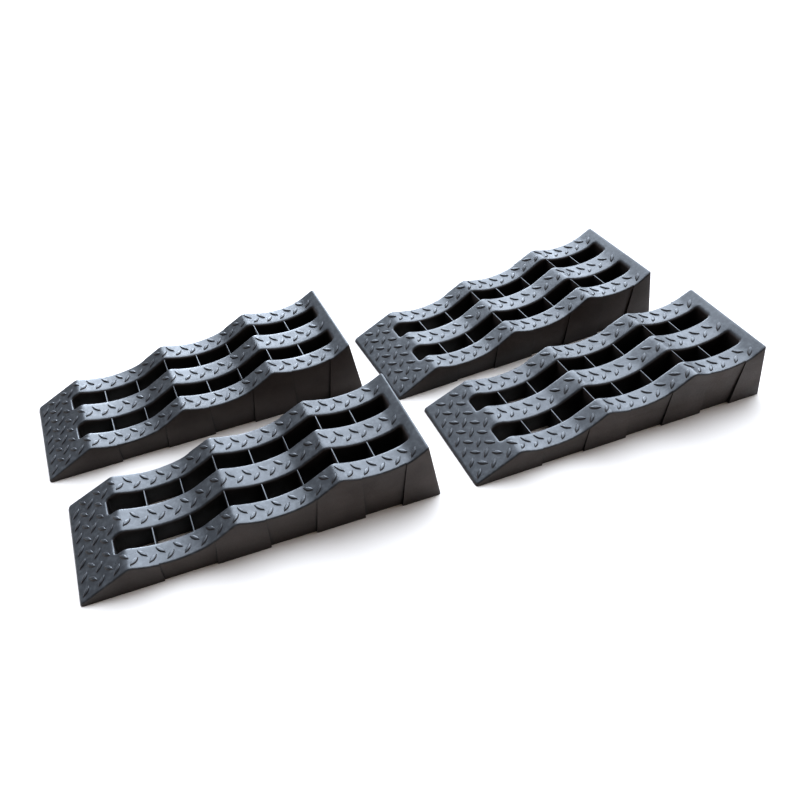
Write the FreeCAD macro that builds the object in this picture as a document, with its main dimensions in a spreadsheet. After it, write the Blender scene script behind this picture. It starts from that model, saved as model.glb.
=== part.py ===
"""A set of four stepped leveling ramps, each one a single moulding open underneath.

A ramp's own frame has its origin on the ground at the middle of the nose edge, +X along
the ramp towards the high heel end, and +Z up. The set's frame has its origin on the
ground at the middle of the four ramps.
"""

import FreeCAD, Part
import Sketcher

import math
import os

SIZES = {
    # the whole moulding
    "ramp_length": 560,
    "heel_height": 105,
    "nose_width": 197,
    "heel_width": 208,
    "nose_edge_height": 4,
    "side_draft": 4.8,
    "heel_draft_length": 20,
    # the tread: a flat nose, then three cradles that climb to the heel
    "nose_length": 80,
    "crest_height": 46,
    "cradle_pitch": 160,
    "cradle_rise": 23.3,
    "cradle_radius": 165,
    "kick_distance": 113,
    "kick_drop": 4,
    "crest_radius": 12,
    "kick_radius": 25,
    # the two long slots between the three rails, and the cross ribs in them
    "rail_pitch": 76,
    "slot_inner_side": 23.7,
    "slot_outer_side": 55,
    "slot_start": 64,
    "slot_end": 524,
    "slot_corner_radius": 5,
    "rib_thickness": 2,
    "rib_drop": 1.6,
    # the hollow underside
    "nose_solid": 10,
    "side_wall": 4.5,
    "panel_wall": 3,
    "roof_thickness": 4.5,
    "flank_thickness": 3,
    # rounded edges
    "rim_radius": 4.5,
    "edge_radius": 3,
    "heel_edge_radius": 5,
    # the set-back side panels: they lean less than the wall, so they are deepest at the foot
    "panel_1_start": 120,
    "panel_1_end": 199,
    "panel_2_start": 281,
    "panel_2_end": 353,
    "panel_3_start": 432,
    "panel_3_end": 494,
    "panel_depth": 2.8,
    "panel_deepening": 1,
    "panel_draft": 2.4,
    "panel_end_draft": 6,
    # the raised tread lugs
    "lug_length": 19,
    "lug_width": 6.5,
    "lug_height": 1.6,
    "lug_angle": 48,
}

# Where each ramp lies: the middle of its nose edge from the middle of the set, and its turn.
LAYOUT = {
    "ramp_front_left": {"x": -579, "y": -114, "turn": -1.6},
    "ramp_back_left": {"x": -598, "y": 150, "turn": 0.1},
    "ramp_front_right": {"x": 36, "y": -145, "turn": -0.7},
    "ramp_back_right": {"x": 5, "y": 93, "turn": 2.2},
}

CRADLES = 3
RIBS = 7
PANELS = 3
LUG_ROWS_PER_RAIL = 3
MARGIN = 12  # how far a cutting outline runs past the moulding
NEAR = 1  # two places closer than this are the same place
SQUARE = 0.99  # a wall faces a way when its normal has more than this in it
UPRIGHT = 0.01  # a wall stands upright when its normal has less than this upwards


def make_sheet(doc):
    """The driving dimensions and the layout, in millimetres and degrees."""
    cells = dict(SIZES)
    for name, place in LAYOUT.items():
        for key, value in place.items():
            cells[f"{name}_{key}"] = value
    sheet = doc.addObject("Spreadsheet::Sheet", "Sizes")
    for row, (alias, value) in enumerate(cells.items(), start=1):
        sheet.set(f"A{row}", alias)
        sheet.set(f"B{row}", str(value))
        sheet.setAlias(f"B{row}", alias)
    doc.recompute()
    return sheet


class Size:
    """A length that knows its value and the spreadsheet expression that gives it."""

    def __init__(self, value, text):
        self.value = value
        self.text = text

    def __add__(self, other):
        other = as_size(other)
        return Size(self.value + other.value, f"({self.text} + {other.text})")

    def __sub__(self, other):
        other = as_size(other)
        return Size(self.value - other.value, f"({self.text} - {other.text})")

    def __mul__(self, other):
        other = as_size(other)
        return Size(self.value * other.value, f"({self.text} * {other.text})")

    def __truediv__(self, other):
        other = as_size(other)
        return Size(self.value / other.value, f"({self.text} / {other.text})")

    def __neg__(self):
        return Size(-self.value, f"(-{self.text})")


def as_size(number):
    """A Size, made from a plain number where need be."""
    return number if isinstance(number, Size) else Size(number, f"({number})")


class Sizes:
    """Each driving dimension as an attribute with the name of its alias."""

    def __init__(self, sheet):
        for alias in SIZES:
            value = float(sheet.get(alias))
            setattr(self, alias, Size(value, f"{sheet.Name}.{alias}"))


# ------------------------------------------------------------------ sketches


def origin_plane(body, role):
    """One of the three planes of the body's own frame."""
    return next(plane for plane in body.Origin.OriginFeatures if plane.Role == role)


def sketch_on(body, name, role):
    """An empty sketch on one of the body's own origin planes."""
    sketch = body.newObject("Sketcher::SketchObject", name)
    sketch.AttachmentSupport = [(origin_plane(body, role), "")]
    sketch.MapMode = "FlatFace"
    return sketch


def pin(sketch, edge, across, up):
    """Hold the start of an edge at a place given by two sizes."""
    for kind, size in (("DistanceX", across), ("DistanceY", up)):
        number = sketch.addConstraint(Sketcher.Constraint(kind, -1, 1, edge, 1, size.value))
        sketch.setExpression(f"Constraints[{number}]", size.text)


def sagging_arc(start, end, radius):
    """The arc from start to end that dips below the straight line between them."""
    chord = end - start
    to_centre = math.sqrt(radius**2 - (chord.Length / 2) ** 2)
    upward = FreeCAD.Vector(-chord.y, chord.x, 0).normalize()
    lowest = (start + end) * 0.5 + upward * (to_centre - radius)
    return Part.Arc(start, lowest, end)


def draw_outline(sketch, corners, radius_after=None):
    """A closed outline; radius_after has the radius of each edge that sags, by its first corner."""
    radius_after = radius_after or {}
    corners = [(as_size(across), as_size(up)) for across, up in corners]
    points = [FreeCAD.Vector(across.value, up.value, 0) for across, up in corners]
    edges = []
    for number, start in enumerate(points):
        end = points[(number + 1) % len(points)]
        if number in radius_after:
            shape = sagging_arc(start, end, radius_after[number].value)
        else:
            shape = Part.LineSegment(start, end)
        edges.append(sketch.addGeometry(shape, False))
    for number, edge in enumerate(edges):
        following = edges[(number + 1) % len(edges)]
        sketch.addConstraint(Sketcher.Constraint("Coincident", edge, 2, following, 1))
        pin(sketch, edge, *corners[number])
        if number in radius_after:
            radius = radius_after[number]
            added = sketch.addConstraint(Sketcher.Constraint("Radius", edge, radius.value))
            sketch.setExpression(f"Constraints[{added}]", radius.text)


def draw_rectangle(sketch, low_x, high_x, low_y, high_y):
    """A rectangle between two sizes each way."""
    draw_outline(sketch, [(low_x, low_y), (high_x, low_y), (high_x, high_y), (low_x, high_y)])


# ------------------------------------------------------------------ features


def pad(body, sketch, length):
    """The sketch raised from the ground by a length."""
    feature = body.newObject("PartDesign::Pad", f"{sketch.Name}_pad")
    feature.Profile = sketch
    feature.setExpression("Length", as_size(length).text)


def pocket(body, sketch, both_ways=False):
    """The sketch cut right through, upwards from the ground or both ways from its plane."""
    feature = body.newObject("PartDesign::Pocket", f"{sketch.Name}_pocket")
    feature.Profile = sketch
    feature.Reversed = True
    feature.Type = "ThroughAll"
    if both_ways:
        feature.SideType = "Symmetric"


def lean_walls(body, name, angle, wanted, into_body=True):
    """Every plumb wall that is wanted, leaned from its foot into the body or out of it."""
    body.Document.recompute()
    base = body.Tip
    walls = [
        f"Face{number}"
        for number, face in enumerate(base.Shape.Faces, start=1)
        if is_plumb(face) and wanted(face)
    ]
    feature = body.newObject("PartDesign::Draft", name)
    feature.Base = (base, walls)
    feature.NeutralPlane = (origin_plane(body, "XY_Plane"), [""])
    feature.Reversed = not into_body
    feature.setExpression("Angle", angle.text)
    body.Document.recompute()


def is_plumb(face):
    """Whether a face is flat and upright."""
    return isinstance(face.Surface, Part.Plane) and abs(face.normalAt(0, 0).z) < UPRIGHT


def looks_sideways(face):
    """Whether a flat face is a wall along the ramp."""
    return abs(face.normalAt(0, 0).y) > SQUARE


def looks_at_middle(face):
    """Whether a flat face is a wall along the ramp that looks at its middle line."""
    return looks_sideways(face) and face.normalAt(0, 0).y * face.CenterOfMass.y < 0


def looks_heelward(face):
    """Whether a flat face is a wall across the ramp that looks at its heel."""
    return face.normalAt(0, 0).x > SQUARE


def fillet(body, name, radius, wanted):
    """Every edge of the body so far that is wanted, rounded off."""
    body.Document.recompute()
    base = body.Tip
    edges = [f"Edge{n}" for n, edge in enumerate(base.Shape.Edges, start=1) if wanted(edge)]
    feature = body.newObject("PartDesign::Fillet", name)
    feature.Base = (base, edges)
    feature.setExpression("Radius", radius.text)
    body.Document.recompute()


# ------------------------------------------------------------------ one ramp


def plan_outline(s, inset, nose_inset=0):
    """The ramp's outline on the ground, set in from its sides; it runs past the heel."""
    widening = (s.heel_width - s.nose_width) / s.ramp_length / 2
    length = s.ramp_length + MARGIN
    nose_side = s.nose_width / 2 - inset + widening * nose_inset
    heel_side = s.nose_width / 2 - inset + widening * length
    return [
        (nose_inset, -nose_side),
        (length, -heel_side),
        (length, heel_side),
        (nose_inset, nose_side),
    ]


def above_tread(s, lower, heel_inset):
    """The region above the tread and behind the heel, with the tread lowered."""
    nose_slope = (s.crest_height - s.nose_edge_height) / s.nose_length
    heel_slope = s.heel_draft_length / s.heel_height
    corners = [(-MARGIN, s.nose_edge_height - nose_slope * MARGIN - lower)]
    radius_after = {}
    for cradle in range(CRADLES):
        crest_x = s.nose_length + s.cradle_pitch * cradle
        crest_z = s.crest_height + s.cradle_rise * cradle - lower
        radius_after[len(corners)] = s.cradle_radius
        corners.append((crest_x, crest_z))
        corners.append((crest_x + s.kick_distance, crest_z - s.kick_drop))
    heel_top_x = s.ramp_length - s.heel_draft_length - heel_inset + heel_slope * lower
    corners += [
        (heel_top_x, s.heel_height - lower),
        (s.ramp_length - heel_inset + heel_slope * MARGIN, -MARGIN),
        (s.ramp_length + MARGIN * 2, -MARGIN),
        (s.ramp_length + MARGIN * 2, s.heel_height + MARGIN),
        (-MARGIN, s.heel_height + MARGIN),
    ]
    return corners, radius_after


def stepped_block(doc, s, name, inset=0, nose_inset=0, lower=0):
    """A body with drafted sides under the stepped tread, all of it inset or lowered."""
    body = doc.addObject("PartDesign::Body", name)
    plan = sketch_on(body, f"{name}_plan", "XY_Plane")
    draw_outline(plan, plan_outline(s, as_size(inset), as_size(nose_inset)))
    pad(body, plan, s.heel_height + MARGIN / 2)
    lean_walls(body, f"{name}_side_draft", s.side_draft, looks_sideways)
    steps = sketch_on(body, f"{name}_steps", "XZ_Plane")
    draw_outline(steps, *above_tread(s, as_size(lower), as_size(inset)))
    pocket(body, steps, both_ways=True)
    doc.recompute()
    return body


def is_straight_across(edge):
    """Whether an edge runs from side to side of the ramp."""
    box = edge.BoundBox
    return box.YLength > box.XLength + box.ZLength


def round_the_steps(s, body):
    """The crests between cradles, and the hollow where each cradle kicks up, rounded off."""
    crests = [s.nose_length + s.cradle_pitch * n for n in range(CRADLES)]
    kicks = [crest + s.kick_distance for crest in crests]
    for name, places, radius in (
        ("crests", crests, s.crest_radius),
        ("kicks", kicks, s.kick_radius),
    ):
        fillet(
            body,
            f"{body.Name}_{name}",
            radius,
            lambda edge: is_straight_across(edge)
            and any(abs(edge.CenterOfMass.x - place.value) < NEAR for place in places),
        )


def round_the_outside(s, body):
    """The two corners of the heel, then the whole upper edge of the moulding."""
    heel_starts = (s.ramp_length - s.heel_draft_length).value
    foot = s.nose_edge_height.value - NEAR

    def is_heel_corner(edge):
        return edge.BoundBox.ZLength > edge.BoundBox.XLength

    def is_upper_edge(edge):
        box = edge.BoundBox
        on_the_tread = is_straight_across(edge) and box.XMax < heel_starts - NEAR
        return box.ZMin > foot and not on_the_tread

    fillet(body, f"{body.Name}_corners", s.heel_edge_radius, is_heel_corner)
    fillet(body, f"{body.Name}_upper_edge", s.edge_radius, is_upper_edge)


def draw_slots(s, sketch, margin=0):
    """The two long slots in plan, or with a margin the slots and the walls around them."""
    start = s.slot_start - margin
    end = s.slot_end + margin
    inner = s.slot_inner_side - margin
    outer = s.slot_outer_side + margin
    draw_rectangle(sketch, start, end, inner, outer)
    draw_rectangle(sketch, start, end, -outer, -inner)


def in_slot_bounds(s, box):
    """Whether a bounding box lies within one of the slots."""
    low, high = sorted((abs(box.YMin), abs(box.YMax)))
    return (
        box.YMin * box.YMax > 0
        and box.XMin > s.slot_start.value - NEAR
        and box.XMax < s.slot_end.value + NEAR
        and low > s.slot_inner_side.value - NEAR
        and high < s.slot_outer_side.value + NEAR
    )


def cut_slots(s, body):
    """The slots, with rounded corners in plan and a rounded rim all round."""
    sketch = sketch_on(body, f"{body.Name}_slots", "XY_Plane")
    draw_slots(s, sketch)
    pocket(body, sketch)

    def is_upright(edge):
        return edge.BoundBox.XLength + edge.BoundBox.YLength < NEAR

    def is_corner(edge):
        return in_slot_bounds(s, edge.BoundBox) and is_upright(edge)

    def is_rim(edge):
        box = edge.BoundBox
        return in_slot_bounds(s, box) and box.ZMin > NEAR and not is_upright(edge)

    fillet(body, f"{body.Name}_slot_corners", s.slot_corner_radius, is_corner)
    fillet(body, f"{body.Name}_slot_rims", s.rim_radius, is_rim)


def make_outer(doc, s, name):
    """The outer form of a ramp, still solid inside: walls, tread and slots."""
    body = stepped_block(doc, s, name)
    round_the_steps(s, body)
    round_the_outside(s, body)
    cut_slots(s, body)
    doc.recompute()
    return body


def make_core(doc, s, name):
    """The hollow inside of a ramp: under the nose, the three rails and the heel."""
    body = stepped_block(
        doc, s, name, inset=s.side_wall, nose_inset=s.nose_solid, lower=s.roof_thickness
    )
    sketch = sketch_on(body, f"{name}_flanks", "XY_Plane")
    draw_slots(s, sketch, margin=s.flank_thickness)
    pocket(body, sketch)
    doc.recompute()
    return body


def make_ribs(doc, s, name):
    """The upright cross ribs, from wall to wall, with their tops just under the tread."""
    body = stepped_block(doc, s, name, inset=s.side_wall / 2, lower=s.rib_drop)
    spacing = (s.slot_end - s.slot_start) / (RIBS + 1)
    half_rib = s.rib_thickness / 2
    beyond = s.heel_width / 2 + MARGIN
    ribs = [s.slot_start + spacing * number for number in range(1, RIBS + 1)]
    starts = [as_size(-MARGIN)] + [rib + half_rib for rib in ribs]
    ends = [rib - half_rib for rib in ribs] + [s.ramp_length + MARGIN]
    sketch = sketch_on(body, f"{name}_bays", "XY_Plane")
    for start, end in zip(starts, ends):
        draw_rectangle(sketch, start, end, -beyond, beyond)
    pocket(body, sketch)
    doc.recompute()
    return body


def make_panels(doc, s, name, margin=0):
    """What the set-back panels take off the sides, or with a margin that and their walls."""
    body = doc.addObject("PartDesign::Body", name)
    sketch = sketch_on(body, f"{name}_plan", "XY_Plane")
    widening = (s.heel_width - s.nose_width) / s.ramp_length / 2
    beyond = s.heel_width / 2 + MARGIN
    for number in range(PANELS):
        start = getattr(s, f"panel_{number + 1}_start") - margin
        end = getattr(s, f"panel_{number + 1}_end") + margin
        depth = s.panel_depth + s.panel_deepening * number + margin
        start_side = s.nose_width / 2 + widening * start - depth
        end_side = s.nose_width / 2 + widening * end - depth
        corners = [(start, start_side), (end, end_side), (end, beyond), (start, beyond)]
        draw_outline(sketch, corners)
        draw_outline(sketch, [(along, -across) for along, across in reversed(corners)])
    pad(body, sketch, s.heel_height + MARGIN)
    lean_walls(body, f"{name}_draft", s.panel_draft, looks_at_middle, into_body=False)
    lean_walls(body, f"{name}_end_draft", s.panel_end_draft, looks_heelward, into_body=False)
    return body


# ------------------------------------------------------------------ tread lugs


def lug_places(s):
    """Where each lug stands and which way it slants: all over the nose, then on the rails."""
    pitch = s.rail_pitch.value / LUG_ROWS_PER_RAIL
    side_limit = (s.nose_width.value - pitch) / 2
    nose_end = s.slot_start.value - s.lug_width.value
    columns = int(2 * s.slot_end.value / pitch)
    for column in range(1, columns + 1):
        along = column * pitch / 2
        slant = 1 if column % 2 else -1
        for row in range(-LUG_ROWS_PER_RAIL - 1, LUG_ROWS_PER_RAIL + 2):
            across = row * pitch - slant * pitch / 4
            on_rail = row % LUG_ROWS_PER_RAIL == 0
            if (on_rail or along < nose_end) and abs(across) < side_limit:
                yield along, across, slant


def lens_prism(length, width, height):
    """An upright prism whose section is a lens, pointed at both ends."""
    tip = FreeCAD.Vector(length / 2, 0, 0)
    side = FreeCAD.Vector(0, width / 2, 0)
    outline = Part.Wire(
        [Part.Arc(tip, side, -tip).toShape(), Part.Arc(-tip, -side, tip).toShape()]
    )
    return Part.Face(outline).extrude(FreeCAD.Vector(0, 0, height))


def make_lugs(doc, s, name):
    """Every lug as a prism from the ground up, cut off a lug's height above the tread."""
    upright = FreeCAD.Vector(0, 0, 1)
    prism = lens_prism(s.lug_length.value, s.lug_width.value, s.heel_height.value + MARGIN)
    prisms = []
    for along, across, slant in lug_places(s):
        placed = prism.copy()
        placed.rotate(FreeCAD.Vector(), upright, slant * s.lug_angle.value)
        placed.translate(FreeCAD.Vector(along, across, 0))
        prisms.append(placed)
    columns = doc.addObject("Part::Feature", f"{name}_columns")
    columns.Shape = Part.Compound(prisms)
    ceiling = stepped_block(doc, s, f"{name}_ceiling", lower=-s.lug_height)
    lugs = doc.addObject("Part::MultiCommon", name)
    lugs.Shapes = [columns, ceiling]
    return lugs


# ------------------------------------------------------------------ the set


def fuse(doc, name, parts):
    """Several objects as one."""
    result = doc.addObject("Part::MultiFuse", name)
    result.Shapes = parts
    return result


def cut(doc, name, base, tool):
    """One object with another taken away from it."""
    result = doc.addObject("Part::Cut", name)
    result.Base = base
    result.Tool = tool
    return result


def make_moulding(doc, s):
    """One whole ramp in its own frame."""
    outside = fuse(doc, "outside", [make_outer(doc, s, "outer"), make_lugs(doc, s, "lugs")])
    panel_walls = make_panels(doc, s, "panel_walls", margin=s.panel_wall)
    hollow = cut(doc, "hollow", make_core(doc, s, "core"), panel_walls)
    shell = cut(doc, "shell", outside, hollow)
    ribbed = fuse(doc, "ribbed", [shell, make_ribs(doc, s, "ribs")])
    moulding = cut(doc, "moulding", ribbed, make_panels(doc, s, "panels"))
    doc.recompute()
    return moulding


def place_ramp(doc, sheet, moulding, name):
    """A ramp of the set: the moulding, where the sheet says that this one lies."""
    ramp = doc.addObject("PartDesign::Body", name)
    ramp.BaseFeature = moulding
    upright = FreeCAD.Vector(0, 0, 1)
    ramp.Placement = FreeCAD.Placement(FreeCAD.Vector(), FreeCAD.Rotation(upright, 1))
    ramp.setExpression("Placement.Base.x", f"{sheet.Name}.{name}_x")
    ramp.setExpression("Placement.Base.y", f"{sheet.Name}.{name}_y")
    ramp.setExpression("Placement.Rotation.Angle", f"{sheet.Name}.{name}_turn")
    return ramp


def check(doc, ramps):
    """Stop if any object failed to build or any ramp isn't one valid solid."""
    for thing in doc.Objects:
        if "Invalid" in thing.State or "Error" in thing.State:
            raise RuntimeError(f"{thing.Label} failed: {thing.State}")
    for ramp in ramps:
        shape = ramp.Shape
        if shape.isNull() or not shape.isValid() or len(shape.Solids) != 1:
            raise RuntimeError(f"{ramp.Label} is not one valid solid")


def main():
    doc = FreeCAD.newDocument("leveling_ramps")
    sheet = make_sheet(doc)
    moulding = make_moulding(doc, Sizes(sheet))
    ramps = [place_ramp(doc, sheet, moulding, name) for name in LAYOUT]
    doc.recompute()
    check(doc, ramps)
    os.makedirs("parts", exist_ok=True)
    for ramp in ramps:
        ramp.Shape.exportStep(f"parts/{ramp.Label}.step")
        box = ramp.Shape.optimalBoundingBox()
        print(ramp.Label, f"{ramp.Shape.Volume / 1000:.0f} cm3", box)


main()
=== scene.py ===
"""Looks for the set of four stepped leveling ramps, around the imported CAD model.

All four ramps have one form, built here in a ramp's own frame: the origin is on the
ground at the middle of the nose edge, +X runs to the high heel end and +Z is up. The
sizes of a ramp are in millimetres, as in the CAD model, and its mesh is in metres.
"""

import math
from collections import namedtuple

import bmesh
import bpy
import numpy as np
from mathutils import Euler, Matrix, Vector
from mathutils.geometry import delaunay_2d_cdt


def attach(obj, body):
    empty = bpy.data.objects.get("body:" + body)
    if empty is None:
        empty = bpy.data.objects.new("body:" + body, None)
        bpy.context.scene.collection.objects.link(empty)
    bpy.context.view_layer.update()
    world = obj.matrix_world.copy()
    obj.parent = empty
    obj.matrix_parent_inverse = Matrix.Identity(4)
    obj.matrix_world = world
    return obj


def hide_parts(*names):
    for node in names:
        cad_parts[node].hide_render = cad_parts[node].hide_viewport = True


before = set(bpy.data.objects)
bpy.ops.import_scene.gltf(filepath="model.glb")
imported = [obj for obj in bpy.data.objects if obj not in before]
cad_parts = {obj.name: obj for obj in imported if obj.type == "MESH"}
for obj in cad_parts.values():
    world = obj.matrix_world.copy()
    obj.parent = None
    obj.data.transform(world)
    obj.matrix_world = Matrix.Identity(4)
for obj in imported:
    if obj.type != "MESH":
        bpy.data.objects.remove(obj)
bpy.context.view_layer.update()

RAMPS = ["ramp_front_left", "ramp_back_left", "ramp_front_right", "ramp_back_right"]
MM = 0.001

# the whole moulding
LENGTH = 560
HEEL_HEIGHT = 105  # at the sharp corner that the rounded heel edge is cut from
HEEL_LEAN = 20  # how far the top of the heel wall lies in from its foot
NOSE_SIDE = 98.5  # half the width at the nose
HEEL_SIDE = 104  # half the width at the heel
NOSE_EDGE_HEIGHT = 4
SIDE_LEAN = math.tan(math.radians(4.8))
CORNER_RADIUS = 5
EDGE_RADIUS = 3

# the tread
CRADLES = 3
NOSE_LENGTH = 80
CREST_HEIGHT = 46
CRADLE_PITCH = 160
CRADLE_RISE = 23.3
CRADLE_RADIUS = 165
KICK_DISTANCE = 113  # from each crest to the kick, where the round cradle gives way to a slope
KICK_DROP = 4  # how far each kick lies below its crest
SOFTENING = 5.6  # half the stretch over which each crest and kick is rounded
SOFTENING_SAMPLES = 9  # how many heights are averaged over that stretch

# the slots and the ribs across them
SLOT_START = 64
SLOT_END = 524
SLOT_INNER_SIDE = 23.7
SLOT_OUTER_SIDE = 55
SLOT_CORNER_RADIUS = 5
RIM_RADIUS = 4.5
RIBS = 7
RIB_THICKNESS = 2
RIB_DROP = 1.6  # how far the top of a rib lies below the tread
RIB_EDGE = 0.6  # how far the eased edge along a rib's top reaches each way
RIB_EASE = RIB_EDGE * 0.3  # how far the middle of that edge lies in from the sharp corner

# the hollow underside
NOSE_SOLID = 10
SIDE_WALL = 4.5
RIB_GRIP = SIDE_WALL / 4  # how far the ends of a rib reach into the side walls
PANEL_WALL = 3
ROOF_THICKNESS = 4.5
FLANK_THICKNESS = 3

# the set-back side panels: where each starts and ends at its foot, and how deep it is there
PANELS = [(120, 199, 2.8), (281, 353, 3.8), (432, 494, 4.8)]
PANEL_LEAN = math.tan(math.radians(2.4))
PANEL_END_LEAN = math.tan(math.radians(6))

# the raised lugs
LUG_PITCH = 76 / 3
LUG_ROWS_PER_RAIL = 3
LUG_LENGTH = 19
LUG_WIDTH = 6.5
LUG_HEIGHT = 2
LUG_ANGLE = math.radians(48)
LUG_SIDE_STEPS = 8  # how many points each long side of a lug's outline has
# the rings of points up a lug: size against its outline, and rise against LUG_HEIGHT
LUG_RINGS = ((1, 0), (0.92, 0.4), (0.8, 0.74), (0.62, 0.95), (0.35, 1.06))

# the mesh
MESH_STEP = 5  # how far apart the points of the mesh are on the open tread
CLEARANCE = 1.6  # how near to an outline a point of the open tread may be
BEND_REACH = SOFTENING * 1.2  # how far the finer mesh runs each way from a crest or kick
BEND_PLACES = 7  # how many places along the ramp the finer mesh has there
BEND_GAP = 1  # how near to the finer mesh the coarser mesh may come
ROUND_STEPS = 5  # how many steps a rounded edge or corner takes
LEAN_TRIALS = 5  # how many trials settle where a leaning wall meets its top
SHARP_ANGLE = math.radians(35)
SLIVER = 0.001  # a triangle with less area than this is left out
SAME_PLACE = 1e-5  # points nearer than this are one point when an area is filled
MERGE_DISTANCE = 0.01  # points nearer than this are one point in the finished mesh
GROUND_SLACK = 0.1  # a corner of the CAD model lower than this is part of a ramp's foot

# the studio: the floor and the camera's place in metres, lens and sensor in millimetres
FLOOR_SIZE = 30
COOL_WHITE = (0.76, 0.86, 1)
WARM_WHITE = (1, 0.88, 0.8)
SENSOR_WIDTH = 36
LENS = 32.625
CAMERA_SHIFT = 0.05
CAMERA_PLACE = (-0.3967, -0.8865, 0.8832)
CAMERA_HEADING = math.radians(69.687)  # anticlockwise from +X, seen from above
CAMERA_DIP = math.radians(45.368)  # how far it looks down
CAMERA_ROLL = math.radians(-3.006)


# ------------------------------------------------------------------ the tread's height


def cradle_dip(past_crest):
    """How far the round floor of a cradle lies from the height of its crest."""
    half_chord = math.hypot(KICK_DISTANCE, KICK_DROP) / 2
    to_centre = math.sqrt(CRADLE_RADIUS**2 - half_chord**2)
    centre_along = KICK_DISTANCE / 2 + to_centre * KICK_DROP / (2 * half_chord)
    centre_height = -KICK_DROP / 2 + to_centre * KICK_DISTANCE / (2 * half_chord)
    return centre_height - math.sqrt(CRADLE_RADIUS**2 - (past_crest - centre_along) ** 2)


def sharp_tread(along):
    """Height of the tread above the ground, before its crests and kicks are rounded."""
    if along <= NOSE_LENGTH:
        return NOSE_EDGE_HEIGHT + (CREST_HEIGHT - NOSE_EDGE_HEIGHT) * along / NOSE_LENGTH
    cradle = min(int((along - NOSE_LENGTH) / CRADLE_PITCH), CRADLES - 1)
    crest_along = NOSE_LENGTH + CRADLE_PITCH * cradle
    crest = CREST_HEIGHT + CRADLE_RISE * cradle
    past_crest = along - crest_along
    if past_crest < KICK_DISTANCE:
        return crest + cradle_dip(past_crest)
    is_last = cradle == CRADLES - 1
    next_along = LENGTH - HEEL_LEAN - crest_along if is_last else CRADLE_PITCH
    next_height = HEEL_HEIGHT - crest if is_last else CRADLE_RISE
    slope = (next_height + KICK_DROP) / (next_along - KICK_DISTANCE)
    return crest - KICK_DROP + slope * (past_crest - KICK_DISTANCE)


def tread(along):
    """Height of the tread, with its crests and kicks rounded by a moving average."""
    offsets = np.linspace(-SOFTENING, SOFTENING, SOFTENING_SAMPLES)
    return float(np.mean([sharp_tread(along + offset) for offset in offsets]))


def roof(along):
    """Height of the underside of the tread."""
    return tread(along) - ROOF_THICKNESS


def places_along(start, end):
    """Places along the ramp for the mesh, closer together over each crest and kick."""
    places = list(np.linspace(start, end, max(2, round((end - start) / MESH_STEP) + 1)))
    for cradle in range(CRADLES):
        crest = NOSE_LENGTH + CRADLE_PITCH * cradle
        for middle in (crest, crest + KICK_DISTANCE):
            if start + MESH_STEP < middle < end - MESH_STEP:
                places = [place for place in places if abs(place - middle) > BEND_REACH + BEND_GAP]
                places += list(np.linspace(middle - BEND_REACH, middle + BEND_REACH, BEND_PLACES))
    return sorted({start, end, *places})


# ------------------------------------------------------------------ outlines in plan

# A post is one upright line of a wall: where its foot and its top are in plan, and which
# way the solid side lies from it.
Post = namedtuple("Post", "foot top into")

# A shell is the outside of the ramp or its hollow inside: how far it is set in from the
# outside of the plain walls, the set-back panels and the nose, and the height of its top.
Shell = namedtuple("Shell", "side_wall panel_wall nose top")
OUTSIDE = Shell(0, 0, 0, tread)
HOLLOW = Shell(SIDE_WALL, PANEL_WALL, NOSE_SOLID, roof)


def foot_side(along):
    """How far the foot of the side wall is from the ramp's middle line."""
    return NOSE_SIDE + (HEEL_SIDE - NOSE_SIDE) * along / LENGTH


def leaning_back(foot_along, lean, top):
    """Where a wall that leans along the ramp meets the top of its shell."""
    along = foot_along
    for _ in range(LEAN_TRIALS):
        along = foot_along + lean * top(along)
    return along


def side_stretches(shell, corner):
    """The +Y wall from nose to heel as (foot start, top start, foot end, top end, set in, lean)."""
    start = (shell.nose + corner,) * 2
    for panel_start, panel_end, depth in PANELS:
        low = panel_start - shell.panel_wall
        high = panel_end + shell.panel_wall
        high_top = leaning_back(high, PANEL_END_LEAN, shell.top)
        yield (*start, low, low, shell.side_wall, SIDE_LEAN)
        yield (low, low, high, high_top, depth + shell.panel_wall, PANEL_LEAN)
        start = (high, high_top)
    heel = LENGTH - shell.side_wall
    heel_top = leaning_back(heel, -HEEL_LEAN / HEEL_HEIGHT, shell.top)
    yield (*start, heel - corner, heel_top - corner, shell.side_wall, SIDE_LEAN)


def side_posts(shell, corner):
    """The posts of the +Y wall from nose to heel."""
    posts = []
    for foot_start, top_start, foot_end, top_end, set_in, lean in side_stretches(shell, corner):
        for top_along in places_along(top_start, top_end):
            part = (top_along - top_start) / (top_end - top_start)
            foot_along = foot_start + (foot_end - foot_start) * part
            foot = Vector((foot_along, foot_side(foot_along) - set_in))
            top_across = foot_side(top_along) - set_in - lean * shell.top(top_along)
            posts.append(Post(foot, Vector((top_along, top_across)), Vector((0, -1))))
    return posts


def corner_posts(post, radius):
    """A quarter turn of posts from a post of the +Y wall, round towards the heel."""
    posts = []
    for step in range(1, ROUND_STEPS + 1):
        angle = math.pi / 2 - math.pi / 2 * step / ROUND_STEPS
        outward = Vector((math.cos(angle), math.sin(angle)))
        shift = (outward - Vector((0, 1))) * radius
        posts.append(Post(post.foot + shift, post.top + shift, -outward))
    return posts


def mirrored(posts):
    """The same posts on the other side of the ramp, in the opposite order."""
    flip = Matrix(((1, 0), (0, -1)))
    return [Post(flip @ post.foot, flip @ post.top, flip @ post.into) for post in reversed(posts)]


def turned_back(post, middle):
    """A post mirrored along the ramp, in the line across it at middle."""
    flip = Matrix(((-1, 0), (0, 1)))
    shift = Vector((2 * middle, 0))
    return Post(flip @ post.foot + shift, flip @ post.top + shift, flip @ post.into)


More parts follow.
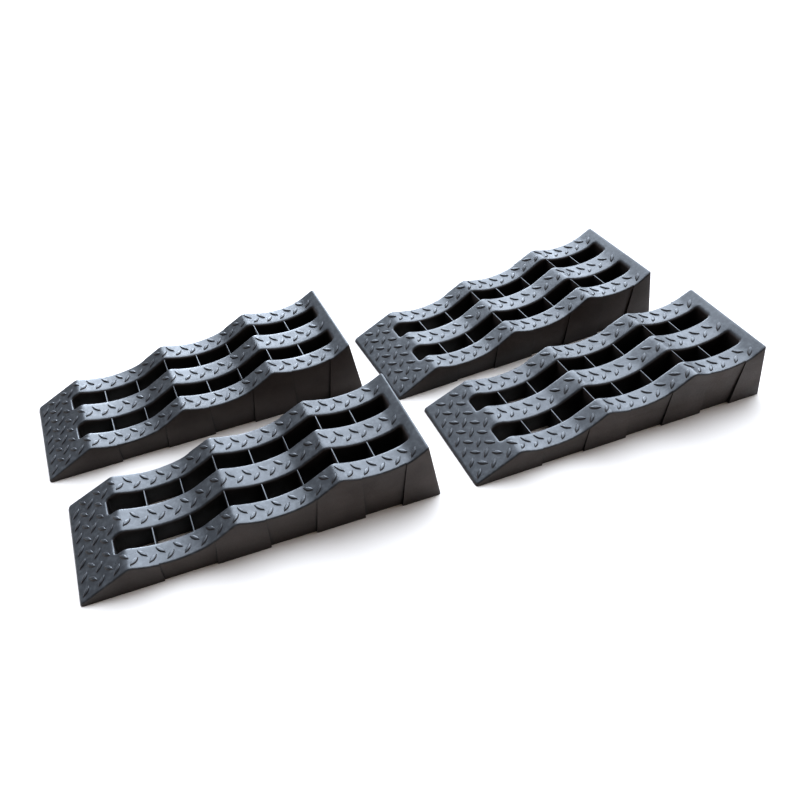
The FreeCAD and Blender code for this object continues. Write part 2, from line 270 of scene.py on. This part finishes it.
def across_posts(post):
    """Posts between a post and its mirror image, not counting either, two mesh steps apart."""
    steps = round(post.top.y / MESH_STEP)
    between = []
    for step in range(1, steps):
        scale = 1 - 2 * step / steps
        foot = Vector((post.foot.x, post.foot.y * scale))
        top = Vector((post.top.x, post.top.y * scale))
        between.append(Post(foot, top, Vector((post.into.x, 0)).normalized()))
    return between


def shell_posts(shell, corner=0):
    """All round a shell: the +Y wall from nose to heel, the heel, the -Y wall and the nose."""
    posts = side_posts(shell, corner)
    if corner:
        heel_turn = corner_posts(posts[-1], corner)
        nose_turn = [turned_back(post, shell.nose + corner) for post in corner_posts(posts[0], corner)]
        posts = nose_turn[::-1] + posts + heel_turn
    heel = across_posts(posts[-1])
    nose = across_posts(posts[0])[::-1]
    return posts + heel + mirrored(posts) + nose


def slot_posts(margin=0, corner=0):
    """All round the +Y slot, or round the flanks that are a margin outside it."""
    start = SLOT_START - margin
    end = SLOT_END + margin
    near = SLOT_INNER_SIDE - margin
    far = SLOT_OUTER_SIDE + margin
    posts = []
    along = places_along(start + corner, end - corner)
    posts += [upright_post(place, near, 0, -1) for place in along]
    posts += slot_corner(end - corner, near + corner, -90, corner)
    posts += slot_corner(end - corner, far - corner, 0, corner)
    posts += [upright_post(place, far, 0, 1) for place in reversed(along)]
    posts += slot_corner(start + corner, far - corner, 90, corner)
    posts += slot_corner(start + corner, near + corner, 180, corner)
    return posts


def upright_post(along, across, into_along, into_across):
    """A post of a plumb wall, with its top right above its foot."""
    place = Vector((along, across))
    return Post(place, place, Vector((into_along, into_across)))


def slot_corner(along, across, start_angle, radius):
    """The posts round one corner of a slot, between the ends of its straight sides."""
    posts = []
    for step in range(1, ROUND_STEPS):
        angle = math.radians(start_angle + 90 * step / ROUND_STEPS)
        into = Vector((math.cos(angle), math.sin(angle)))
        place = Vector((along, across)) + into * radius
        posts.append(Post(place, place, into))
    return posts


# ------------------------------------------------------------------ mesh building


class Skin:
    """Faces gathered one by one, in millimetres; shared points are merged at the end."""

    def __init__(self):
        self.points = []
        self.faces = []

    def add(self, points, faces):
        first = len(self.points)
        self.points += points
        self.faces += [[first + number for number in face] for face in faces]

    def add_grid(self, rows):
        """Four-sided faces between rows of points that each close on themselves."""
        count = len(rows[0])
        faces = []
        for row in range(len(rows) - 1):
            for place in range(count):
                following = (place + 1) % count
                here = row * count
                above = here + count
                faces.append([here + place, here + following, above + following, above + place])
        self.add([point for row in rows for point in row], faces)


def height_on_wall(post, top, drop):
    """The point of a wall's upright line that is a drop below its top, in plan."""
    full = top(post.top.x)
    return post.foot.lerp(post.top, (full - drop) / full)


def wall_rows(posts, top, radius=0):
    """A wall from the ground up and its rounded upper edge, as rows of points."""
    rows = [[Vector((*post.foot, 0)) for post in posts]]
    steps = ROUND_STEPS if radius else 0
    for step in range(steps + 1):
        angle = math.pi / 2 * step / steps if steps else math.pi / 2
        inset = radius * (1 - math.cos(angle))
        drop = radius * (1 - math.sin(angle))
        row = []
        for post in posts:
            place = height_on_wall(post, top, drop) + post.into * inset
            row.append(Vector((*place, top(place.x) - drop)))
        rows.append(row)
    return rows


def inside(places, loop):
    """Which places lie inside a closed loop, by the edges that a ray from each one crosses."""
    along, across = places.T
    result = np.zeros(len(places), bool)
    for start, end in zip(loop, loop[1:] + loop[:1]):
        if start.y == end.y:
            continue
        level = (start.y > across) != (end.y > across)
        crossing = start.x + (across - start.y) * (end.x - start.x) / (end.y - start.y)
        result ^= level & (along < crossing)
    return result


def distance_to(places, loop):
    """How far each place is from the nearest edge of a closed loop."""
    nearest = np.full(len(places), np.inf)
    for start, end in zip(loop, loop[1:] + loop[:1]):
        first = np.array(start[:2])
        edge = np.array(end[:2]) - first
        length_squared = max(edge @ edge, 1e-9)  # never zero, as two points may be in one place
        part = np.clip((places - first) @ edge / length_squared, 0, 1)
        gaps = np.linalg.norm(places - first - part[:, None] * edge, axis=1)
        nearest = np.minimum(nearest, gaps)
    return nearest


def within_any(places, areas):
    """Which places lie in any of some areas, each a closed loop and the loops cut out of it."""
    result = np.zeros(len(places), bool)
    for outline, holes in areas:
        here = inside(places, outline)
        for hole in holes:
            here &= ~inside(places, hole)
        result |= here
    return result


def fill(skin, loops, loose, areas):
    """Triangles through closed loops of points and through loose points, kept in some areas."""
    points = [point for loop in loops for point in loop] + loose
    edges = []
    count = 0
    for loop in loops:
        numbers = list(range(count, count + len(loop)))
        edges += list(zip(numbers, numbers[1:] + numbers[:1]))
        count += len(loop)
    plan = [point.xy for point in points]
    found, _, triangles, sources, _, _ = delaunay_2d_cdt(plan, edges, [], 0, SAME_PLACE)
    lifted = []
    for place, source in zip(found, sources):
        lifted.append(points[source[0]] if source else Vector((*place, tread(place.x))))
    corners = np.array([[found[number] for number in face] for face in triangles])
    one_side = corners[:, 1] - corners[:, 0]
    other_side = corners[:, 2] - corners[:, 0]
    size = abs(one_side[:, 0] * other_side[:, 1] - one_side[:, 1] * other_side[:, 0]) / 2
    kept = within_any(corners.mean(axis=1), areas) & (size > SLIVER)
    skin.add(lifted, [face for face, keep in zip(triangles, kept) if keep])


# ------------------------------------------------------------------ the raised lugs


def lug_places():
    """Where each lug stands and which way it slants: all over the nose, then on the rails."""
    side_limit = NOSE_SIDE - LUG_PITCH / 2
    nose_end = SLOT_START - LUG_WIDTH
    columns = int(2 * SLOT_END / LUG_PITCH)
    for column in range(1, columns + 1):
        along = column * LUG_PITCH / 2
        slant = 1 if column % 2 else -1
        for row in range(-LUG_ROWS_PER_RAIL - 1, LUG_ROWS_PER_RAIL + 2):
            across = row * LUG_PITCH - slant * LUG_PITCH / 4
            on_rail = row % LUG_ROWS_PER_RAIL == 0
            if (on_rail or along < nose_end) and abs(across) < side_limit:
                yield along, across, slant * LUG_ANGLE


def lug_loops(along, across, angle):
    """Rings of points on one lug, from its lens-shaped outline up to its top."""
    parts = [-1 + 2 * step / LUG_SIDE_STEPS for step in range(LUG_SIDE_STEPS)]
    outline = [(part, 1) for part in parts] + [(-part, -1) for part in parts]
    loops = []
    for size, rise in LUG_RINGS:
        loop = []
        for part, side in outline:
            length = LUG_LENGTH / 2 * part * size
            width = LUG_WIDTH / 2 * (1 - part**2) * side * size
            place = Vector((length, width)) @ Matrix.Rotation(-angle, 2)
            x = along + place.x
            loop.append(Vector((x, across + place.y, tread(x) + LUG_HEIGHT * rise)))
        loops.append(loop)
    return loops


# ------------------------------------------------------------------ one ramp


def mirror_loop(loop):
    """A closed loop on the other side of the ramp, with its points in the opposite order."""
    return [Vector((point.x, -point.y, point.z)) for point in reversed(loop)]


def open_tread(outer, slots, lugs):
    """Points over the open tread, clear of its edges and its lugs."""
    across = np.linspace(-HEEL_SIDE, HEEL_SIDE, round(2 * HEEL_SIDE / MESH_STEP))
    along = places_along(0, LENGTH - HEEL_LEAN)
    places = np.array([(x, y) for x in along for y in across])
    for loop in slots + lugs:
        low = min(point.x for point in loop) - CLEARANCE
        high = max(point.x for point in loop) + CLEARANCE
        nearby = (places[:, 0] > low) & (places[:, 0] < high)
        taken = np.zeros(len(places), bool)
        taken[nearby] = inside(places[nearby], loop)
        taken[nearby] |= distance_to(places[nearby], loop) < CLEARANCE
        places = places[~taken]
    places = places[inside(places, outer) & (distance_to(places, outer) > CLEARANCE)]
    return [Vector((x, y, tread(x))) for x, y in places]


def wall_at(along):
    """How far the inner face of the side wall is set in at its foot there, and its lean."""
    for start, end, depth in PANELS:
        if start < along < end:
            return depth + PANEL_WALL, PANEL_LEAN
    return SIDE_WALL, SIDE_LEAN


def add_rib(skin, along):
    """One upright cross rib, with its ends held in the side walls and its top edge eased."""
    set_in, lean = wall_at(along)
    half = RIB_THICKNESS / 2
    sides = [(-half, RIB_EDGE), (-half + RIB_EASE, RIB_EASE), (-half + RIB_EDGE, 0)]
    section = sides + [(-x, drop) for x, drop in reversed(sides)]
    profile = [(along + x, tread(along + x) - RIB_DROP - drop) for x, drop in section]
    profile = [(along - half, 0)] + profile + [(along + half, 0)]
    ends = []
    for side in (-1, 1):
        reach = foot_side(along) - set_in + RIB_GRIP
        ends.append([Vector((x, side * (reach - lean * z), z)) for x, z in profile])
    count = len(profile)
    skin.add_grid(ends)
    skin.add(ends[0] + ends[1], [list(range(count))[::-1], list(range(count, 2 * count))])


def build_ribs():
    """All the cross ribs of a ramp."""
    skin = Skin()
    for number in range(1, RIBS + 1):
        add_rib(skin, SLOT_START + (SLOT_END - SLOT_START) * number / (RIBS + 1))
    return skin


def build_shell():
    """A ramp but for its ribs as one closed skin, in its own frame, in millimetres."""
    skin = Skin()
    outside = wall_rows(shell_posts(OUTSIDE, CORNER_RADIUS), tread, EDGE_RADIUS)
    hollow = wall_rows(shell_posts(HOLLOW), roof)
    slot = wall_rows(slot_posts(corner=SLOT_CORNER_RADIUS), tread, RIM_RADIUS)
    flank = wall_rows(slot_posts(margin=FLANK_THICKNESS), roof)
    slots = [slot, [mirror_loop(row) for row in slot]]
    flanks = [flank, [mirror_loop(row) for row in flank]]
    for rows in [outside, hollow] + slots + flanks:
        skin.add_grid(rows)
    lugs = [lug_loops(*place) for place in lug_places()]
    rims = [rows[-1] for rows in slots]
    spots = open_tread(outside[-1], rims, [loops[0] for loops in lugs])
    rings = [loop for loops in lugs for loop in loops]
    fill(skin, [outside[-1]] + rims + rings, spots, [(outside[-1], rims)])
    tops = [rows[-1] for rows in flanks]
    fill(skin, [hollow[-1]] + tops, [], [(hollow[-1], tops)])
    feet = [rows[0] for rows in [outside, hollow] + flanks + slots]
    standing = [(outside[0], [hollow[0]])]
    standing += [(flank[0], [slot[0]]) for flank, slot in zip(flanks, slots)]
    fill(skin, feet, [], standing)
    return skin


def ramp_placement(node):
    """Where a CAD ramp lies: its turn from the corners of its foot, its place from its nose."""
    foot = np.array([corner.co.xy for corner in node.data.vertices if corner.co.z < GROUND_SLACK * MM])
    middle = foot.mean(axis=0)
    _, directions = np.linalg.eigh(np.cov((foot - middle).T))
    along = directions[:, 1] * np.sign(directions[0, 1])
    across = np.array((-along[1], along[0]))
    nose = ((foot - middle) @ along).min()
    sides = (foot - middle) @ across
    origin = middle + along * nose + across * (sides.min() + sides.max()) / 2
    turn = math.atan2(along[1], along[0])
    return Matrix.Translation((*origin, 0)) @ Matrix.Rotation(turn, 4, "Z")


def mesh_from(skin, name, placement):
    """A closed mesh in metres from a skin in millimetres, laid where it belongs."""
    bm = bmesh.new()
    corners = [bm.verts.new(point * MM) for point in skin.points]
    for face in skin.faces:
        bm.faces.new([corners[number] for number in face])
    bmesh.ops.remove_doubles(bm, verts=bm.verts, dist=MERGE_DISTANCE * MM)
    bmesh.ops.recalc_face_normals(bm, faces=bm.faces)
    for face in bm.faces:
        face.smooth = True
    for edge in bm.edges:
        edge.smooth = edge.calc_face_angle(0) < SHARP_ANGLE
    bm.transform(placement)
    mesh = bpy.data.meshes.new(name)
    bm.to_mesh(mesh)
    bm.free()
    return mesh


def add_ramp(name, shell, ribs, material):
    """A ramp in place of its CAD node, and its ribs with it."""
    placement = ramp_placement(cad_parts[name])
    ramp = bpy.data.objects.new(f"{name}_moulding", mesh_from(shell, name, placement))
    inner = bpy.data.objects.new(f"{name}_ribs", mesh_from(ribs, f"{name}_ribs", placement))
    for piece in (ramp, inner):
        bpy.context.collection.objects.link(piece)
        piece.data.materials.append(material)
        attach(piece, name)
    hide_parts(name)


# ------------------------------------------------------------------ materials


class Nodes:
    """Adds nodes to the tree of a material or world; each short call gives back an output."""

    def __init__(self, owner):
        owner.use_nodes = True
        self.tree = owner.node_tree

    def add(self, kind, **values):
        """A new node, with its settings or its sockets' numbers filled in."""
        node = self.tree.nodes.new(kind)
        for key, value in values.items():
            if hasattr(node, key):
                setattr(node, key, value)
            else:
                self.feed(value, node.inputs[key.replace("_", " ")])
        return node

    def feed(self, value, socket):
        """A socket takes a fixed number or colour, or is linked to an output."""
        if isinstance(value, bpy.types.NodeSocket):
            self.tree.links.new(value, socket)
        else:
            socket.default_value = value

    def noise(self, scale, detail=3, stretch=(1, 1, 1)):
        """Noise by place on the object; stretch scales the place first."""
        place = self.add("ShaderNodeTexCoord").outputs["Object"]
        mapped = self.add("ShaderNodeMapping", Vector=place, Scale=stretch).outputs["Vector"]
        return self.add("ShaderNodeTexNoise", Vector=mapped, Scale=scale, Detail=detail).outputs["Fac"]

    def remap(self, value, low, high, new_low, new_high):
        """A value between low and high, moved to between new_low and new_high."""
        limits = {"From_Min": low, "From_Max": high, "To_Min": new_low, "To_Max": new_high}
        return self.add("ShaderNodeMapRange", Value=value, **limits).outputs["Result"]

    def total(self, first, second, kind="ADD"):
        """Two values added, or joined as the kind says."""
        node = self.add("ShaderNodeMath", operation=kind)
        self.feed(first, node.inputs[0])
        self.feed(second, node.inputs[1])
        return node.outputs["Value"]

    def mix(self, factor, first, second):
        """From the first colour at a factor of 0 to the second at 1."""
        node = self.add("ShaderNodeMix", data_type="RGBA")
        self.feed(factor, node.inputs["Factor"])
        self.feed(first, node.inputs["A"])
        self.feed(second, node.inputs["B"])
        return node.outputs["Result"]


def moulded_plastic():
    """Satin black plastic: fine grain, smudges and flow marks in its gloss, a little dust; its
    standing faces carry a painted warm reflection, and painted shade in hollows and towards their
    foot.
    """
    material = bpy.data.materials.new("black_plastic")
    nodes = Nodes(material)
    shader = nodes.tree.nodes["Principled BSDF"]

    facing = nodes.add("ShaderNodeNewGeometry").outputs["Normal"]
    facing_up = nodes.add("ShaderNodeSeparateXYZ", Vector=facing).outputs["Z"]
    upward = nodes.remap(facing_up, 0.3, 0.8, 0, 1)

    smudges = nodes.remap(nodes.noise(14, detail=4), 0.4, 0.7, 0, 0.13)
    flow = nodes.remap(nodes.noise(90, stretch=(0.12, 1, 1)), 0.3, 0.7, -0.03, 0.05)
    speckle = nodes.remap(nodes.noise(420, detail=2), 0.3, 0.7, -0.06, 0.06)
    base_roughness = nodes.remap(upward, 0, 1, 0.5, 0.34)
    roughness = nodes.total(nodes.total(base_roughness, smudges), nodes.total(flow, speckle))
    nodes.feed(roughness, shader.inputs["Roughness"])

    tread_patches = nodes.remap(nodes.noise(25), 0.35, 0.65, 0, 1)
    tread_tint = nodes.mix(tread_patches, (0.012, 0.013, 0.015, 1), (0.02, 0.021, 0.023, 1))
    # painted reflection: the faces that stand up are painted warm brown and lighter than the tread,
    # for a warm floor seen in them, in random patches
    wall_patches = nodes.remap(nodes.noise(18), 0.3, 0.7, 0, 1)
    wall_painted_light = nodes.mix(wall_patches, (0.029, 0.0195, 0.0155, 1), (0.048, 0.034, 0.028, 1))
    # painted shade: the standing faces go near black where they are hemmed in, deep in the slots and
    # the hollow and low at their foot
    openness = nodes.add("ShaderNodeAmbientOcclusion", Distance=0.06).outputs["AO"]
    painted_shade_mask = nodes.remap(openness, 0.35, 0.8, 0, 1)
    wall_painted_light = nodes.mix(painted_shade_mask, (0.001, 0.001, 0.001, 1), wall_painted_light)
    # the tread keeps the plastic's own dark tint; the standing faces take the painted reflection and
    # the painted shade
    tint_and_painted_light = nodes.mix(upward, wall_painted_light, tread_tint)
    dust_patches = nodes.remap(nodes.noise(130, detail=5), 0.45, 0.75, 0, 0.3)
    dust = nodes.total(upward, dust_patches, "MULTIPLY")
    nodes.feed(nodes.mix(dust, tint_and_painted_light, (0.11, 0.115, 0.12, 1)), shader.inputs["Base Color"])

    grain = nodes.noise(900, detail=2)
    bump = nodes.add("ShaderNodeBump", Strength=0.3, Distance=0.0002, Height=grain)
    nodes.feed(bump.outputs["Normal"], shader.inputs["Normal"])
    return material


def floor_material():
    """The plain pale studio floor."""
    material = bpy.data.materials.new("studio_floor")
    material.use_nodes = True
    shader = material.node_tree.nodes["Principled BSDF"]
    shader.inputs["Base Color"].default_value = (0.62, 0.57, 0.52, 1)
    shader.inputs["Roughness"].default_value = 0.9
    return material


# ------------------------------------------------------------------ studio


def add_floor():
    """A wide floor under the whole set."""
    bpy.ops.mesh.primitive_plane_add(size=FLOOR_SIZE)
    floor = bpy.context.object
    floor.name = "studio_floor"
    floor.data.materials.append(floor_material())


def add_soft_light(name, azimuth, elevation, spread, brightness, colour):
    """A round soft light at a great distance, placed and sized by angles in degrees.

    The azimuth runs clockwise from behind the set, seen from above.
    """
    data = bpy.data.lights.new(name, "SUN")
    data.angle = math.radians(spread)
    data.energy = brightness * math.pi * math.sin(math.radians(spread / 2)) ** 2
    data.color = colour
    light = bpy.data.objects.new(name, data)
    light.rotation_euler = (math.radians(elevation - 90), 0, math.radians(-azimuth))
    bpy.context.collection.objects.link(light)


def add_lights():
    """Cool light from behind, a little warm light from the front right, and a dim world."""
    world = bpy.data.worlds.new("studio")
    nodes = Nodes(world)
    seen = nodes.add("ShaderNodeLightPath").outputs["Is Camera Ray"]
    colour = nodes.mix(seen, (0.12, 0.11, 0.104, 1), (1, 1, 1, 1))
    nodes.feed(colour, nodes.tree.nodes["Background"].inputs["Color"])
    bpy.context.scene.world = world
    add_soft_light("back_light", 34, 46, 76, 7.8, COOL_WHITE)
    add_soft_light("low_back_light", 8, 13, 26, 14, COOL_WHITE)
    add_soft_light("left_light", -44, 38, 40, 1.4, COOL_WHITE)
    add_soft_light("front_light", 125, 50, 60, 0.5, WARM_WHITE)


def add_camera():
    """The camera of the photograph: left of the middle, in front of and above the set."""
    data = bpy.data.cameras.new("camera")
    camera = bpy.data.objects.new("camera", data)
    data.sensor_width = SENSOR_WIDTH
    data.lens = LENS
    data.shift_x = CAMERA_SHIFT
    data.shift_y = CAMERA_SHIFT
    camera.location = CAMERA_PLACE
    camera.rotation_euler = Euler((math.pi / 2 - CAMERA_DIP, 0, CAMERA_HEADING - math.pi / 2))
    camera.rotation_euler.rotate_axis("Z", CAMERA_ROLL)
    bpy.context.collection.objects.link(camera)
    bpy.context.scene.camera = camera


plastic = moulded_plastic()
shell = build_shell()
ribs = build_ribs()
for name in RAMPS:
    add_ramp(name, shell, ribs, plastic)
add_floor()
add_lights()
add_camera()
bpy.context.scene.view_settings.view_transform = "Standard"
bpy.context.scene.view_settings.look = "Medium High Contrast"
